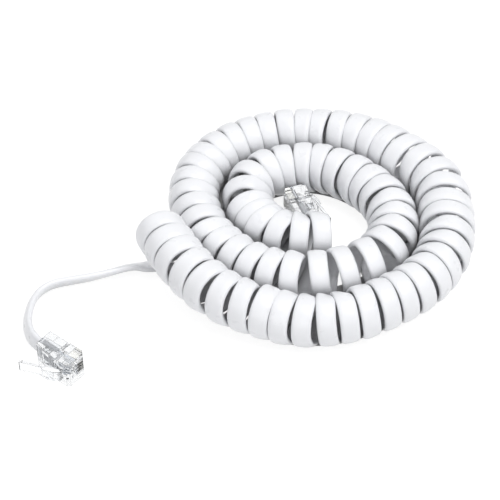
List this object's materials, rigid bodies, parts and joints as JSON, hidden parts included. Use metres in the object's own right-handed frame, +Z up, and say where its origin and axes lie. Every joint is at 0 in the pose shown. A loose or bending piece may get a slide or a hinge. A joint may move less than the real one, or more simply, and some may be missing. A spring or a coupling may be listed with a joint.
{
  "type": "coiled handset cord",
  "caption": "White coiled handset cord lying in a loose spiral, with a flat straight lead and a clear latching modular plug at each end.",
  "frame": {"origin": "on the table, under the middle of the cord's bounding box", "axes": "+Z up; the cord lies in the XY plane, its outer lead and plug towards -X and -Y"},
  "size_m": [0.1178, 0.0949, 0.0197],
  "materials": {
    "cable_jacket": "glossy white flexible jacket",
    "clear_plastic": "clear moulded plastic",
    "contact_gold": "gold plated blades",
    "wire_insulation": "pale wire insulation"
  },
  "bodies": {
    "root": {"curly_cord": "cable_jacket", "outer_lead": "cable_jacket", "inner_lead": "cable_jacket", "outer_plug_housing": "clear_plastic", "outer_plug_jacket_bar": "clear_plastic", "outer_plug_wire_bar": "clear_plastic", "outer_plug_contact_1": "contact_gold", "outer_plug_contact_2": "contact_gold", "outer_plug_contact_3": "contact_gold", "outer_plug_contact_4": "contact_gold", "outer_plug_conductor_1": "wire_insulation", "outer_plug_conductor_2": "wire_insulation", "outer_plug_conductor_3": "wire_insulation", "outer_plug_conductor_4": "wire_insulation", "inner_plug_housing": "clear_plastic", "inner_plug_jacket_bar": "clear_plastic", "inner_plug_wire_bar": "clear_plastic", "inner_plug_contact_1": "contact_gold", "inner_plug_contact_2": "contact_gold", "inner_plug_contact_3": "contact_gold", "inner_plug_contact_4": "contact_gold", "inner_plug_conductor_1": "wire_insulation", "inner_plug_conductor_2": "wire_insulation", "inner_plug_conductor_3": "wire_insulation", "inner_plug_conductor_4": "wire_insulation"},
    "outer_latch": {"outer_plug_latch": "clear_plastic"},
    "inner_latch": {"inner_plug_latch": "clear_plastic"}
  },
  "joints": [
    {"name": "outer_latch_press", "type": "hinge", "parent": "root", "child": "outer_latch", "pos_m": [-0.04685, -0.04581, 0.00382], "axis": [0, 0, -1], "range_deg": [0, 20], "stiffness_Nm_per_rad": 0.02},
    {"name": "inner_latch_press", "type": "hinge", "parent": "root", "child": "inner_latch", "pos_m": [0.01469, 0.01689, 0.00382], "axis": [0, 0, -1], "range_deg": [0, 8], "stiffness_Nm_per_rad": 0.02}
  ]
}
